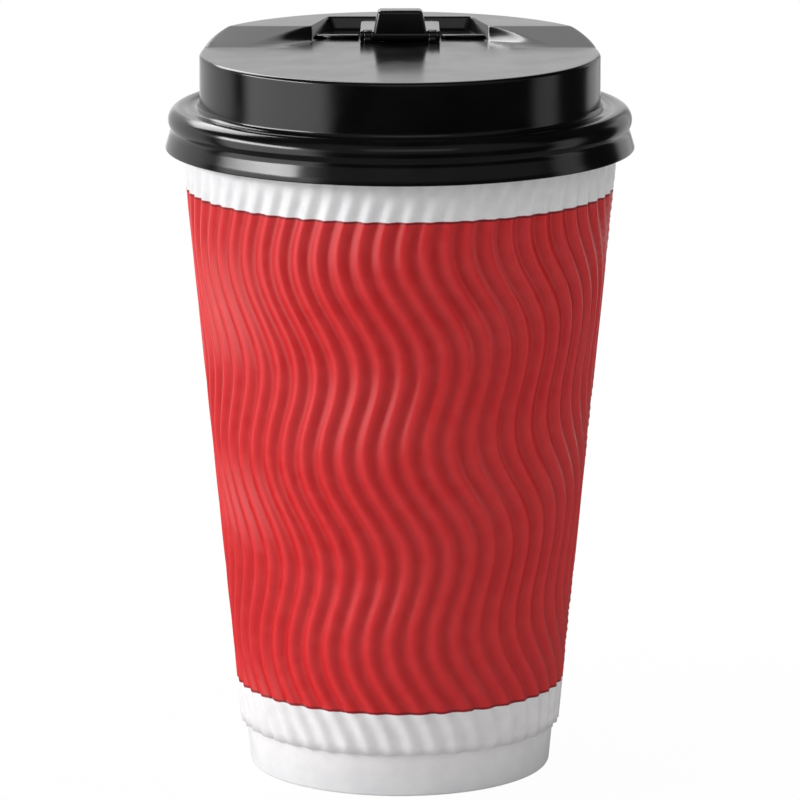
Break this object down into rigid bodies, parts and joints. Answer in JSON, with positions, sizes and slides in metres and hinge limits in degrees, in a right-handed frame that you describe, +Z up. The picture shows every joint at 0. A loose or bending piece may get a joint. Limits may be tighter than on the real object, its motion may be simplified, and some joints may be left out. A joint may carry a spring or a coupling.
{
  "type": "paper coffee cup",
  "caption": "Tapered takeaway paper coffee cup with a rolled brim, a red ripple wrap and a black press-on lid whose hinged flip tab closes the sip opening.",
  "frame": {"origin": "on the surface the cup stands on, at the middle of its base", "axes": "+Z up along the cup's axis, -Y towards the front of the lid, +Y towards the sip opening, X along the tab's hinge"},
  "size_m": [0.0936, 0.0936, 0.1512],
  "materials": {
    "cup_board": "smooth coated white board",
    "sleeve_paper": "fluted paper with a matt red print between white margins",
    "lid_plastic": "glossy black moulded plastic"
  },
  "bodies": {
    "cup": {"cup_wall": "cup_board", "cup_base": "cup_board", "ripple_sleeve": "sleeve_paper", "lid": "lid_plastic"},
    "tab": {"lid_tab": "lid_plastic"}
  },
  "joints": [
    {"name": "tab_hinge", "type": "hinge", "parent": "cup", "child": "tab", "pos_m": [0, 0.014, 0.14605], "axis": [1, 0, 0], "range_deg": [0, 94]}
  ]
}
